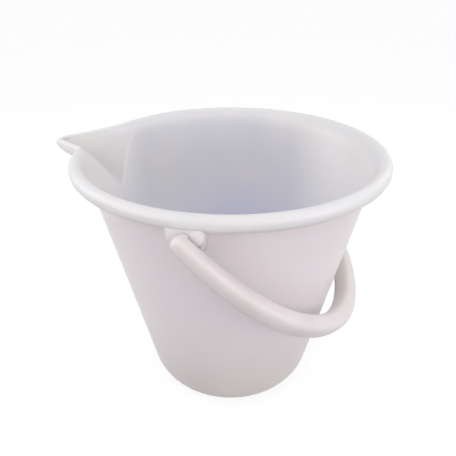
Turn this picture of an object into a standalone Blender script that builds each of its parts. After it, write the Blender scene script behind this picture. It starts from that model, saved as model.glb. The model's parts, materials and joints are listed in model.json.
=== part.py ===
"""Moulded bucket with a pouring spout and a swinging bail handle, in metres, +Z up.

The origin is the centre of the underside. The ears that carry the bail are at -Y and +Y. The spout
points along -X, turned 4.4 degrees to +Y. At rest the bail hangs on the +X side, just short of the wall.
The bucket is one moulding of even wall thickness: a mid-surface is laid out and then thickened.
"""

import math

import bmesh
import bpy
from mathutils import Vector

# Bucket shell, outside sizes
HEIGHT = 0.281
RIM_RADIUS = 0.160
WALL = 0.0024
RIM_UNDERSIDE = 0.014
WALL_TOP_RADIUS = 0.1442
FOOT_RADIUS = 0.0923
CORNER_RADIUS = 0.032

# Rolled rim, open underneath: the roll is a round bead that turns back below
ROLL_RADIUS = 0.0052
ROLL_SIDE = 0.0014
ROLL_START = math.radians(140)
ROLL_END = math.radians(-75)
FLARE_DEPTH = 0.018

# Pouring spout: two flat faces that meet in a valley, with the bead running on round its lip
SPOUT_TURN = math.radians(4.4)
SPOUT_REACH = 0.2096
SPOUT_DROOP = 0.0089
SPOUT_DEPTH = 0.066
SPOUT_BEND = math.radians(18.6)
LIP_BEND = math.radians(16.3)
SPOUT_NOSE = 0.022
SPOUT_CREASE = 0.004
LIP_WIDTH = 0.0075
RIM_DIP = 0.0022
RIM_DIP_REACH = math.radians(50)
LIP_END = math.radians(22)
LIP_CREASE = 0.003
LIP_FADE = 0.15
TOP_CREASE = 0.010
TOP_CREASE_DEPTH = 0.030
BEND_DEPTH = 0.003

# Ears under the rim: a front plate, and sides that slope back to the wall
EAR_FACE = 0.1590
EAR_PLATE = 0.0032
EAR_TOP = 0.0065
EAR_TOP_HALF = 0.0170
EAR_PLATE_HALF = 0.0152
EAR_PLATE_FOOT = 0.0258
EAR_WALL_HALF = 0.0100
EAR_WALL_FOOT = 0.0415
EAR_CORNER = 0.0055
EAR_SIDE = 0.0024
EAR_SINK = 0.0004

# Pocket of an ear: narrow behind, wide at the front, and open below
POCKET_TOP = 0.0052
POCKET_FRONT_HALF = 0.0100
POCKET_FRONT_FOOT = 0.0450
POCKET_FRONT_CORNER = 0.0020
POCKET_BACK_HALF = 0.0020
POCKET_BACK_FOOT = 0.0600
POCKET_BACK_CORNER = 0.0010
POCKET_CLEARANCE = 0.0006

# Pivot: a shouldered peg on each end of the bail, snapped through the plate of the ear
PIVOT_DROP = 0.0178
PEG_RADIUS = 0.0035
PEG_HEAD_RADIUS = 0.0054
PEG_HEAD = 0.0026
PEG_TIP = 0.0016
PEG_ROOT = 0.0020
SHOULDER_RADIUS = 0.0042
RUNNING_GAP = 0.0003

# Bail handle
BAIL_HALF_WIDTH = 0.1690
BAIL_REACH = 0.1966
BAIL_HANG = math.radians(46.8)
BAIL_END_RADIUS = 0.0064
GRIP_HALF_WIDTH = 0.0101
GRIP_HALF_HEIGHT = 0.0114
GRIP_SWELL = 0.51
GRIP_SQUARENESS = 2.6

# Mesh counts, and the angles in degrees of the columns beside the tip of the spout
SPOUT_COLUMNS = (0, 0.7, 1.5, 2.5, 4.5, 7, 9.5, 11.5, 13, 14.5, 15.7, 16.9, 18.2, 20, 22.5, 26)
COLUMN_STEP = math.radians(5.5)
CORNER_ROWS = 6
LOWER_ROWS = 3
UPPER_ROWS = 5
ROW_MARGIN = 0.008
FLARE_ROWS = 4
ROLL_ROWS = 11
BAIL_STATIONS = 44
BAIL_SIDES = 20
DOME_ANGLES = (80, 60, 40, 20)
EAR_CORNER_STEPS = 4
SHARP_ANGLE = math.radians(35)
CURVE_STEP = 0.0001
PEG_SIDES = 24

# The beak is worked out only this near its tip, and never past a sight line along its face
BEAK_LIMIT = math.radians(44)
BEAK_LEAST = 0.2

PIVOT_Z = HEIGHT - PIVOT_DROP
EDGE_Z = HEIGHT - WALL / 2
MID_RIM_RADIUS = RIM_RADIUS - WALL / 2
WALL_SLOPE = (WALL_TOP_RADIUS - FOOT_RADIUS) / (HEIGHT - RIM_UNDERSIDE)
WALL_LEAN = math.atan(WALL_SLOPE)


def clear_scene():
    """Removes whatever the file holds, so that only this object is left."""
    for obj in list(bpy.data.objects):
        bpy.data.objects.remove(obj, do_unlink=True)


def make_material(name, colour, roughness):
    """A moulded plastic: a Principled shader with its colour and roughness."""
    material = bpy.data.materials.new(name)
    material.use_nodes = True
    shader = material.node_tree.nodes["Principled BSDF"]
    shader.inputs["Base Color"].default_value = (*colour, 1.0)
    shader.inputs["Roughness"].default_value = roughness
    shader.inputs["Metallic"].default_value = 0.0
    material.diffuse_color = (*colour, 1.0)
    return material


def natural_polyethylene():
    """Undyed polyethylene: a cool, milky white."""
    return make_material("natural_polyethylene", (0.80, 0.76, 0.78), 0.30)


def ivory_polypropylene():
    """Undyed polypropylene of the bail: white with a little cream."""
    return make_material("ivory_polypropylene", (0.82, 0.80, 0.76), 0.34)


def add_object(name, mesh, material=None):
    """Links a mesh to the scene under its name, with smooth shading up to sharp edges."""
    mesh.name = name
    obj = bpy.data.objects.new(name, mesh)
    bpy.context.scene.collection.objects.link(obj)
    if material:
        mesh.materials.append(material)
    mesh.shade_smooth()
    mesh.set_sharp_from_angle(angle=SHARP_ANGLE)
    return obj


def mesh_from(points, faces):
    """A mesh from points and faces, its normals turned outwards."""
    shape = bmesh.new()
    verts = [shape.verts.new(point) for point in points]
    for face in faces:
        shape.faces.new([verts[i] for i in face])
    bmesh.ops.recalc_face_normals(shape, faces=shape.faces)
    mesh = bpy.data.meshes.new("shape")
    shape.to_mesh(mesh)
    shape.free()
    return mesh


def hide_as_cutter(obj):
    """A cutter or a block that a Boolean uses is no piece of its own."""
    obj.hide_render = True
    obj.display_type = "WIRE"


def add_boolean(obj, other, operation):
    """Joins or cuts obj with other."""
    modifier = obj.modifiers.new(other.name, "BOOLEAN")
    modifier.operation = operation
    modifier.object = other
    modifier.solver = "EXACT"


def smooth_max(a, b, width):
    """The larger of two values, rounded over where they are nearly equal."""
    return max(a, b) + max(width - abs(a - b), 0.0) ** 2 / (4 * width)


def smooth_step(low, high, value):
    """0 below low, 1 above high, with a soft change between."""
    t = min(max((value - low) / (high - low), 0.0), 1.0)
    return t * t * (3 - 2 * t)


def outside_radius(z):
    """Outside radius of the plain cone at height z."""
    return FOOT_RADIUS + WALL_SLOPE * z


def cone_radius(z):
    """Radius of the cone half-way through the wall."""
    return outside_radius(z) - WALL / 2 / math.cos(WALL_LEAN)


def spout_faces():
    """The spout's faces, as reach - spread * sideways - fall * depth, measured along the spout.

    They hold the bends in the wall, the inside of the lip at the tip and the low end of the valley."""
    foot = cone_radius(HEIGHT - SPOUT_DEPTH)
    tip = SPOUT_REACH - LIP_WIDTH + SPOUT_NOSE / 4
    tip_depth = SPOUT_DROOP + BEND_DEPTH
    fall = (tip - foot) / (SPOUT_DEPTH - tip_depth)
    reach = foot + fall * SPOUT_DEPTH
    bend = cone_radius(HEIGHT)
    top_reach = reach - BEND_DEPTH * fall
    spread = (top_reach - bend * math.cos(SPOUT_BEND)) / (bend * math.sin(SPOUT_BEND))
    return reach, spread, fall


def lip_faces():
    """The outside of the lip seen from above, as reach - spread * sideways."""
    reach = SPOUT_REACH + SPOUT_NOSE / 4
    across = MID_RIM_RADIUS * math.sin(LIP_BEND)
    return reach, (reach - MID_RIM_RADIUS * math.cos(LIP_BEND)) / across


REACH, SPREAD, FALL = spout_faces()
LIP_REACH, LIP_SPREAD = lip_faces()


def beak_radius(plain, reach, spread, turn, crease):
    """Radius of a round wall with a beak of two straight faces, at an angle of turn from its tip."""
    if abs(turn) > BEAK_LIMIT:
        return plain
    left = reach / max(math.cos(turn) + spread * math.sin(turn), BEAK_LEAST)
    right = reach / max(math.cos(turn) - spread * math.sin(turn), BEAK_LEAST)
    return smooth_max(plain, -smooth_max(-left, -right, SPOUT_NOSE), crease)


def wall_radius(turn, z):
    """Radius of the mid-surface at height z. The crease beside the spout is softer near the top."""
    depth = HEIGHT - z
    crease = SPOUT_CREASE + TOP_CREASE * (1 - smooth_step(0.0, TOP_CREASE_DEPTH, depth))
    return beak_radius(cone_radius(z), REACH - FALL * depth, SPREAD, turn, crease)


def lip_radius(turn):
    """Radius of the outermost line of the rim and the lip."""
    return beak_radius(MID_RIM_RADIUS, LIP_REACH, LIP_SPREAD, turn, LIP_CREASE)


def crease_depth(turn):
    """Depth at which the spout's face runs into the plain wall."""
    widening = math.cos(turn) + SPREAD * abs(math.sin(turn))
    top = cone_radius(HEIGHT)
    return (REACH - top * widening) / (FALL - WALL_SLOPE * widening)


def lip_share(turn):
    """1 at the tip of the spout, falling to 0 where the lip joins the round rim."""
    return smooth_max(1 - abs(turn) / LIP_BEND, 0.0, LIP_FADE)


def at(turn, radius, z):
    """The point at an angle of turn from the spout."""
    angle = math.pi + turn - SPOUT_TURN
    return Vector((radius * math.cos(angle), radius * math.sin(angle), z))


def edge_section(share):
    """The flare and the roll, as (part of the way out to the rim, height, height of the wall it leaves).

    Heights are measured from the top of the mid-surface. Where share is 1, at the tip of the spout, the
    bead opens out to a plain lip."""
    end = ROLL_END + (LIP_END - ROLL_END) * share * share
    flare_top = -ROLL_RADIUS * (1 - math.sin(ROLL_START))
    full = MID_RIM_RADIUS - cone_radius(EDGE_Z + flare_top)
    rise = full - ROLL_RADIUS * (1 - math.cos(ROLL_START))
    section = []
    for i in range(FLARE_ROWS):
        t = i / FLARE_ROWS
        up = -FLARE_DEPTH + (FLARE_DEPTH + flare_top) * t
        section.append((rise * t * t / full, up, up))
    for i in range(ROLL_ROWS + 1):
        angle = ROLL_START + (end - ROLL_START) * i / ROLL_ROWS
        part = 1 - ROLL_RADIUS * (1 - math.cos(angle)) / full
        side = ROLL_SIDE if angle < 0 else 0.0
        up = -ROLL_RADIUS * (1 - math.sin(angle)) - side
        section.append((part, up, flare_top))
    return section


def turns():
    """Angles of the mesh's columns from the tip of the spout: close together there, then even."""
    fine = [math.radians(angle) for angle in SPOUT_COLUMNS]
    even = round((2 * math.pi - 2 * fine[-1]) / COLUMN_STEP)
    step = (2 * math.pi - 2 * fine[-1]) / even
    rest = [fine[-1] + step * i for i in range(1, even)]
    return [-turn for turn in reversed(fine[1:])] + fine + rest


def floor_and_corner():
    """(radius, height) of the mid-surface from the flat of the floor, round the corner, to the wall."""
    radius = CORNER_RADIUS - WALL / 2
    centre_z = WALL / 2 + radius
    centre_r = cone_radius(centre_z + radius * math.sin(-WALL_LEAN)) - radius * math.cos(WALL_LEAN)
    rows = []
    for i in range(CORNER_ROWS + 1):
        angle = -math.pi / 2 + (math.pi / 2 - WALL_LEAN) * i / CORNER_ROWS
        rows.append((centre_r + radius * math.cos(angle), centre_z + radius * math.sin(angle)))
    return rows


def wall_heights(turn, top):
    """Heights of the rows between the corner and the flare. One row follows the crease of the spout."""
    low = HEIGHT - SPOUT_DEPTH - ROW_MARGIN
    high = top - FLARE_DEPTH
    crease = HEIGHT - crease_depth(turn) if abs(turn) < SPOUT_BEND else high
    crease = min(max(crease, low + ROW_MARGIN), high - ROW_MARGIN)
    under, over = crease - ROW_MARGIN / 2, crease + ROW_MARGIN / 2
    below = [low + (under - low) * i / (LOWER_ROWS - 1) for i in range(LOWER_ROWS)]
    above = [over + (high - over) * i / UPPER_ROWS for i in range(UPPER_ROWS)]
    return below + [crease] + above


def shell_column(turn, floor_rows):
    """The mid-surface at one angle, from the floor to the end of the roll."""
    points = [at(turn, radius, z) for radius, z in floor_rows]
    share = lip_share(turn) if abs(turn) < math.pi / 2 else 0.0
    dip = RIM_DIP * (1 - smooth_step(0.0, RIM_DIP_REACH, abs(turn)))
    top = EDGE_Z - SPOUT_DROOP * share - dip
    points += [at(turn, wall_radius(turn, z), z) for z in wall_heights(turn, top)]
    section = edge_section(share)
    full = lip_radius(turn) - wall_radius(turn, top + section[-1][2])
    for part, up, base in section:
        radius = wall_radius(turn, top + base) + part * full
        points.append(at(turn, radius, top + up))
    return points


def shell_mesh():
    """The bucket's mid-surface: one column of points for each angle, closed by a point on the floor."""
    floor_rows = floor_and_corner()
    columns = [shell_column(turn, floor_rows) for turn in turns()]
    rows = len(columns[0])
    points = [Vector((0, 0, WALL / 2))]
    for column in columns:
        points += column
    faces = []
    for i in range(len(columns)):
        here = 1 + i * rows
        there = 1 + (i + 1) % len(columns) * rows
        faces.append((0, there, here))
        for j in range(rows - 1):
            faces.append((here + j, there + j, there + j + 1, here + j + 1))
    return mesh_from(points, faces)


def flared_radius(z):
    """Radius of the mid-surface under the rim, with its flare."""
    flare_top = -ROLL_RADIUS * (1 - math.sin(ROLL_START))
    rise = MID_RIM_RADIUS - cone_radius(EDGE_Z + flare_top) - ROLL_RADIUS * (1 - math.cos(ROLL_START))
    t = (z - EDGE_Z + FLARE_DEPTH) / (FLARE_DEPTH + flare_top)
    return cone_radius(z) + rise * max(t, 0.0) ** 2


def ear_outline(top_half, top, foot_half, foot, corner):
    """Half-width and height round the ear: straight sides that end in rounded corners."""
    points = [(top_half, HEIGHT - top)]
    for i in range(EAR_CORNER_STEPS + 1):
        angle = -math.pi / 2 * i / EAR_CORNER_STEPS
        x = foot_half - corner + corner * math.cos(angle)
        points.append((x, HEIGHT - foot + corner + corner * math.sin(angle)))
    return points + [(-x, z) for x, z in reversed(points)]


def ear_loft(name, side, front, front_outline, back_shift, back_outline):
    """A block between an outline on the plane at front and one that follows the wall behind it."""
    count = len(front_outline)
    points = [(x, side * front, z) for x, z in front_outline]
    points += [(x, side * (flared_radius(z) + back_shift), z) for x, z in back_outline]
    faces = [tuple(range(count))]
    for i in range(count):
        j = (i + 1) % count
        faces.append((i, i + count, j + count))
        faces.append((i, j + count, j))
    for i in range(count // 2 - 1):
        j = count - 1 - i
        faces.append((i + count, j + count, j + count - 1, i + count + 1))
    loft = add_object(name, mesh_from(points, faces))
    hide_as_cutter(loft)
    return loft


def cylinder(name, radius, start, end, sides=PEG_SIDES):
    """A closed cylinder along Y, from y = start to y = end, on the bail's axis."""
    points = []
    for y in (start, end):
        for i in range(sides):
            angle = 2 * math.pi * i / sides
            points.append((radius * math.cos(angle), y, radius * math.sin(angle)))
    faces = [tuple(range(sides)), tuple(range(sides, 2 * sides))]
    for i in range(sides):
        j = (i + 1) % sides
        faces.append((i, j, j + sides, i + sides))
    return add_object(name, mesh_from(points, faces))


def add_ear(shell, name, side):
    """One ear: a front plate and two side walls on the bucket, open underneath, with the peg's hole."""
    inside = EAR_FACE - EAR_PLATE
    plate = ear_outline(EAR_TOP_HALF, EAR_TOP, EAR_PLATE_HALF, EAR_PLATE_FOOT, EAR_CORNER)
    root = ear_outline(EAR_TOP_HALF, EAR_TOP, EAR_WALL_HALF, EAR_WALL_FOOT, EAR_CORNER)
    block = ear_loft(name + "_block", side, EAR_FACE, plate, -EAR_SINK, root)
    half = EAR_TOP_HALF - EAR_SIDE
    mouth = ear_outline(half, POCKET_TOP, POCKET_FRONT_HALF, POCKET_FRONT_FOOT, POCKET_FRONT_CORNER)
    depth = ear_outline(half, POCKET_TOP, POCKET_BACK_HALF, POCKET_BACK_FOOT, POCKET_BACK_CORNER)
    pocket = ear_loft(name + "_pocket", side, inside, mouth, WALL / 2 + POCKET_CLEARANCE, depth)
    start, end = side * (inside - EAR_PLATE), side * (EAR_FACE + EAR_PLATE)
    hole = cylinder(name + "_hole", PEG_RADIUS + RUNNING_GAP, start, end)
    hole.location = (0, 0, PIVOT_Z)
    hide_as_cutter(hole)
    add_boolean(shell, block, "UNION")
    add_boolean(shell, pocket, "DIFFERENCE")
    add_boolean(shell, hole, "DIFFERENCE")


def add_bucket(material):
    """The bucket: the thickened shell with an ear on each side."""
    shell = add_object("bucket_body", shell_mesh(), material)
    thickness = shell.modifiers.new("wall", "SOLIDIFY")
    thickness.thickness = WALL
    thickness.offset = 0.0
    thickness.use_even_offset = True
    thickness.use_rim = True
    add_ear(shell, "near_ear", -1)
    add_ear(shell, "far_ear", 1)
    return shell


def bail_curve(u):
    """Centre of the bail at u from 0 to 1, in its own plane: half an ellipse from peg to peg."""
    angle = math.pi * u
    return Vector((BAIL_REACH * math.sin(angle), -BAIL_HALF_WIDTH * math.cos(angle), 0))


def bail_ring(centre, across, half_width, half_height):
    """A rounded-square ring of points round the bail's centre line."""
    ring = []
    for i in range(BAIL_SIDES):
        angle = 2 * math.pi * (i + 0.5) / BAIL_SIDES
        c, s = math.cos(angle), math.sin(angle)
        power = 2 / GRIP_SQUARENESS
        wide = half_width * math.copysign(abs(c) ** power, c)
        high = half_height * math.copysign(abs(s) ** power, s)
        ring.append(centre + across * wide + Vector((0, 0, high)))
    return ring


def bail_mesh():
    """The bail: rings along the half ellipse, thin at the ends and full at the grip, with domed ends."""
    rings = []
    dome = [math.radians(angle) for angle in DOME_ANGLES]
    for angle in dome:
        radius = BAIL_END_RADIUS * math.cos(angle)
        back = BAIL_END_RADIUS * math.sin(angle)
        rings.append(bail_ring(Vector((-back, -BAIL_HALF_WIDTH, 0)), Vector((0, -1, 0)), radius, radius))
    for i in range(BAIL_STATIONS + 1):
        u = i / BAIL_STATIONS
        tangent = (bail_curve(u + CURVE_STEP) - bail_curve(u - CURVE_STEP)).normalized()
        across = Vector((tangent.y, -tangent.x, 0))
        swell = max(math.sin(math.pi * u), 0.0) ** GRIP_SWELL
        half_width = BAIL_END_RADIUS + (GRIP_HALF_WIDTH - BAIL_END_RADIUS) * swell
        half_height = BAIL_END_RADIUS + (GRIP_HALF_HEIGHT - BAIL_END_RADIUS) * swell
        rings.append(bail_ring(bail_curve(u), across, half_width, half_height))
    for angle in reversed(dome):
        radius = BAIL_END_RADIUS * math.cos(angle)
        back = BAIL_END_RADIUS * math.sin(angle)
        rings.append(bail_ring(Vector((-back, BAIL_HALF_WIDTH, 0)), Vector((0, 1, 0)), radius, radius))
    points = [point for ring in rings for point in ring]
    faces = [tuple(range(BAIL_SIDES)), tuple(range(len(points) - BAIL_SIDES, len(points)))]
    for i in range(len(rings) - 1):
        for j in range(BAIL_SIDES):
            k = (j + 1) % BAIL_SIDES
            low, high = i * BAIL_SIDES, (i + 1) * BAIL_SIDES
            faces.append((low + j, low + k, high + k, high + j))
    return mesh_from(points, faces)


def peg_profile():
    """The peg as (distance along Y, radius), from inside the bail's end to its tip behind the plate."""
    front = EAR_FACE + RUNNING_GAP
    behind = EAR_FACE - EAR_PLATE - RUNNING_GAP
    return [
        (BAIL_HALF_WIDTH - PEG_ROOT, SHOULDER_RADIUS),
        (front, SHOULDER_RADIUS),
        (front, PEG_RADIUS),
        (behind, PEG_RADIUS),
        (behind, PEG_HEAD_RADIUS),
        (behind - PEG_HEAD, PEG_HEAD_RADIUS),
        (behind - PEG_HEAD - PEG_TIP, PEG_RADIUS),
    ]


def peg_mesh(side):
    """A headed peg turned round the bail's axis."""
    profile = peg_profile()
    points = []
    for y, radius in profile:
        for i in range(PEG_SIDES):
            angle = 2 * math.pi * i / PEG_SIDES
            points.append((radius * math.cos(angle), side * y, radius * math.sin(angle)))
    last = (len(profile) - 1) * PEG_SIDES
    faces = [tuple(range(PEG_SIDES)), tuple(range(last, last + PEG_SIDES))]
    for i in range(len(profile) - 1):
        for j in range(PEG_SIDES):
            k = (j + 1) % PEG_SIDES
            low, high = i * PEG_SIDES, (i + 1) * PEG_SIDES
            faces.append((low + j, low + k, high + k, high + j))
    return mesh_from(points, faces)


def add_bail(material):
    """The bail with its pegs. Its origin lies on the pivot axis, and it is turned down to hang."""
    bail = add_object("bail_handle", bail_mesh(), material)
    for name, side in (("near_peg", -1), ("far_peg", 1)):
        peg = add_object(name, peg_mesh(side))
        hide_as_cutter(peg)
        peg.parent = bail
        add_boolean(bail, peg, "UNION")
    bail.location = (0, 0, PIVOT_Z)
    bail.rotation_euler = (0, BAIL_HANG, 0)
    return bail


def main():
    """Builds the bucket and its bail."""
    clear_scene()
    add_bucket(natural_polyethylene())
    add_bail(ivory_polypropylene())
    bpy.context.view_layer.update()


main()
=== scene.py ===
"""Looks of a moulded calf feeding bucket with a pouring spout and a swinging bail.

Everything is in metres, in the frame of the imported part: the origin is the centre of the underside,
+Z is up, the spout points along -X, the ears stand at -Y (near) and +Y (far), and the bail hangs on +X.
"""

import json
import logging
import math
from dataclasses import dataclass, field, fields
from enum import Enum
from typing import Any

import bmesh
import bpy
import numpy as np
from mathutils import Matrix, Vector


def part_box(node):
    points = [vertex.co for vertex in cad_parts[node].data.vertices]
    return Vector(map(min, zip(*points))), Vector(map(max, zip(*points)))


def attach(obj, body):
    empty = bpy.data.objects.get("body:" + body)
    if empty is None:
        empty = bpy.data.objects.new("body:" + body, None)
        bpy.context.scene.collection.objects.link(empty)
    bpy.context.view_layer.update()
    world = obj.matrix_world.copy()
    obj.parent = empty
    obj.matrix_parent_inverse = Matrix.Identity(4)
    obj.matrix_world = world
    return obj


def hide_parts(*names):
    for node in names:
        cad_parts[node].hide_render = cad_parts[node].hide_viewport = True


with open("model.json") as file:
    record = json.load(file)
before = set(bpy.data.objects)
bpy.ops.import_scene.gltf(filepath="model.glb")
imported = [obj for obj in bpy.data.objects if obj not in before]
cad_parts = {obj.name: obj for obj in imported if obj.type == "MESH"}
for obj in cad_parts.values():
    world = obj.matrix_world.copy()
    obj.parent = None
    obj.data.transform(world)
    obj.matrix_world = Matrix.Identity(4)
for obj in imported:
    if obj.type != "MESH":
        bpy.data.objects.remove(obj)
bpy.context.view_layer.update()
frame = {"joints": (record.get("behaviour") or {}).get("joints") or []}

LOG = logging.getLogger("feeding_bucket")
MM = 0.001
PHOTO_SIDE = 456
SAME_PLACE = 1e-6


class Body(Enum):
    """The bodies that pieces ride on."""

    BUCKET = "bucket"
    BAIL = "bail"


class Side(Enum):
    """The two ears, as the sign of their Y."""

    NEAR = -1
    FAR = 1


def linear(code: str) -> tuple[float, float, float, float]:
    """Turns an sRGB hex colour to linear values.

    Args:
        code: The colour as six hex digits, such as "e6e2e5".

    Returns:
        Linear red, green, blue and an alpha of 1.
    """
    shares = [int(code[i:i + 2], 16) / 255 for i in (0, 2, 4)]
    bent = [c / 12.92 if c <= 0.04045 else ((c + 0.055) / 1.055) ** 2.4 for c in shares]
    return (*bent, 1.0)


def add_node(tree: bpy.types.NodeTree, kind: str, settings: dict[str, Any] | None = None,
             inputs: dict[int | str, Any] | None = None) -> bpy.types.Node:
    """Adds a node with its settings and links.

    Args:
        tree: The tree that gets the node.
        kind: Blender's name for the type of node.
        settings: Properties of the node, by name.
        inputs: For each input, by name or place, a socket to link it to or the value it takes.

    Returns:
        The new node.
    """
    node = tree.nodes.new(kind)
    for name, value in (settings or {}).items():
        setattr(node, name, value)
    for key, value in (inputs or {}).items():
        if isinstance(value, bpy.types.NodeSocket):
            tree.links.new(value, node.inputs[key])
        else:
            node.inputs[key].default_value = value
    return node


def smooth_max(a: np.ndarray, b: np.ndarray, width: np.ndarray | float) -> np.ndarray:
    """The larger of two values, rounded over where they are nearly equal.

    Args:
        a: One value.
        b: The other value.
        width: How near the two are where the rounding starts.

    Returns:
        The larger value, a little more where a and b meet.
    """
    return np.maximum(a, b) + np.maximum(width - np.abs(a - b), 0.0) ** 2 / (4 * width)


def smooth_step(low: float, high: float, value: np.ndarray | float) -> np.ndarray | float:
    """A soft step.

    Args:
        low: The value where the step starts from 0.
        high: The value where it reaches 1.
        value: The value to look up.

    Returns:
        0 below low, 1 above high, and a soft change between.
    """
    t = np.clip((value - low) / (high - low), 0.0, 1.0)
    return t * t * (3 - 2 * t)


def new_object(name: str, mesh: bpy.types.Mesh) -> bpy.types.Object:
    """Links a mesh to the scene.

    Args:
        name: The object's and the mesh's name.
        mesh: The mesh, in the part's frame.

    Returns:
        The object, at the origin.
    """
    mesh.name = name
    obj = bpy.data.objects.new(name, mesh)
    bpy.context.scene.collection.objects.link(obj)
    return obj


def settled(obj: bpy.types.Object) -> bpy.types.Object:
    """Turns an object's modifiers into plain mesh.

    Args:
        obj: The object, whose modifiers go.

    Returns:
        The same object with its final mesh.
    """
    bpy.context.view_layer.update()
    graph = bpy.context.evaluated_depsgraph_get()
    mesh = bpy.data.meshes.new_from_object(obj.evaluated_get(graph), depsgraph=graph)
    obj.modifiers.clear()
    obj.data = mesh
    mesh.name = obj.name
    return obj


def mesh_of(shape: bmesh.types.BMesh, name: str) -> bpy.types.Mesh:
    """Turns an editable shape into a mesh.

    Args:
        shape: The shape, which is freed.
        name: The mesh's name.

    Returns:
        The mesh.
    """
    mesh = bpy.data.meshes.new(name)
    shape.to_mesh(mesh)
    shape.free()
    return mesh


def blank_material(name: str) -> bpy.types.Material:
    """Makes a material whose node tree is empty.

    Args:
        name: The material's name.

    Returns:
        The material.
    """
    made = bpy.data.materials.new(name)
    made.use_nodes = True
    made.node_tree.nodes.clear()
    return made


def closed_mesh(points: np.ndarray, faces: list[tuple[int, ...]]) -> bpy.types.Mesh:
    """A closed mesh with its faces turned outwards.

    Args:
        points: The corners.
        faces: The corners of each face.

    Returns:
        The mesh, shaded smooth.
    """
    shape = bmesh.new()
    corners = [shape.verts.new(point) for point in points]
    for face in faces:
        shape.faces.new([corners[i] for i in face])
    bmesh.ops.recalc_face_normals(shape, faces=shape.faces)
    mesh = mesh_of(shape, "shape")
    mesh.shade_smooth()
    return mesh


def round_mesh(start: tuple[float, float, float], rows: np.ndarray,
               end: tuple[float, float, float]) -> bpy.types.Mesh:
    """Skins rows of points that go round an axis, with a fan of faces at each end.

    Args:
        start: The point that closes the first row.
        rows: Points by row, column and axis.
        end: The point that closes the last row.

    Returns:
        The mesh, with its corners in the order start, rows, end.
    """
    count, columns = rows.shape[:2]
    points = np.concatenate([[start], rows.reshape(-1, 3), [end]])
    last = len(points) - 1
    faces = []
    for j in range(columns):
        k = (j + 1) % columns
        faces.append((0, 1 + k, 1 + j))
        faces.append((last, last - columns + j, last - columns + k))
        for i in range(count - 1):
            here, above = 1 + i * columns, 1 + (i + 1) * columns
            faces.append((here + j, here + k, above + k, above + j))
    return closed_mesh(points, faces)


@dataclass(frozen=True)
class MouldedPlastic:
    """What the two plastics share: light that goes a little way in, and the faint peel of a mould.

    Each plastic gives these fields its own values.
    """

    name: str
    roughness: float
    rough_span: tuple[float, float]
    rough_change: tuple[float, float]
    ior: float
    milkiness: float
    depth: float
    scatter: tuple[float, float, float]
    peel: float
    peel_strength: float
    peel_height: float = 0.2 * MM

    def surface(self, tree: bpy.types.NodeTree, colour: bpy.types.NodeSocket,
                wear: bpy.types.NodeSocket) -> None:
        """Ends a material's tree with its shader.

        Args:
            tree: The material's tree.
            colour: The socket with the colour.
            wear: The socket with the noise that the roughness follows.
        """
        place = add_node(tree, "ShaderNodeTexCoord").outputs["Object"]
        rough = add_node(tree, "ShaderNodeMapRange", {}, {
            "Value": wear, "From Min": self.rough_span[0], "From Max": self.rough_span[1],
            "To Min": self.roughness + self.rough_change[0],
            "To Max": self.roughness + self.rough_change[1]})
        peel = add_node(tree, "ShaderNodeTexNoise", {}, {
            "Vector": place, "Scale": 1 / self.peel, "Detail": 2.0, "Roughness": 0.5})
        relief = add_node(tree, "ShaderNodeBump", {}, {
            "Strength": self.peel_strength, "Distance": self.peel_height,
            "Height": peel.outputs["Fac"]})
        shader = add_node(tree, "ShaderNodeBsdfPrincipled", {"subsurface_method": "RANDOM_WALK"}, {
            "Base Color": colour, "Roughness": rough.outputs["Result"], "IOR": self.ior,
            "Subsurface Weight": self.milkiness, "Subsurface Radius": self.scatter,
            "Subsurface Scale": self.depth, "Normal": relief.outputs["Normal"]})
        add_node(tree, "ShaderNodeOutputMaterial", {}, {"Surface": shader.outputs["BSDF"]})


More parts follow.
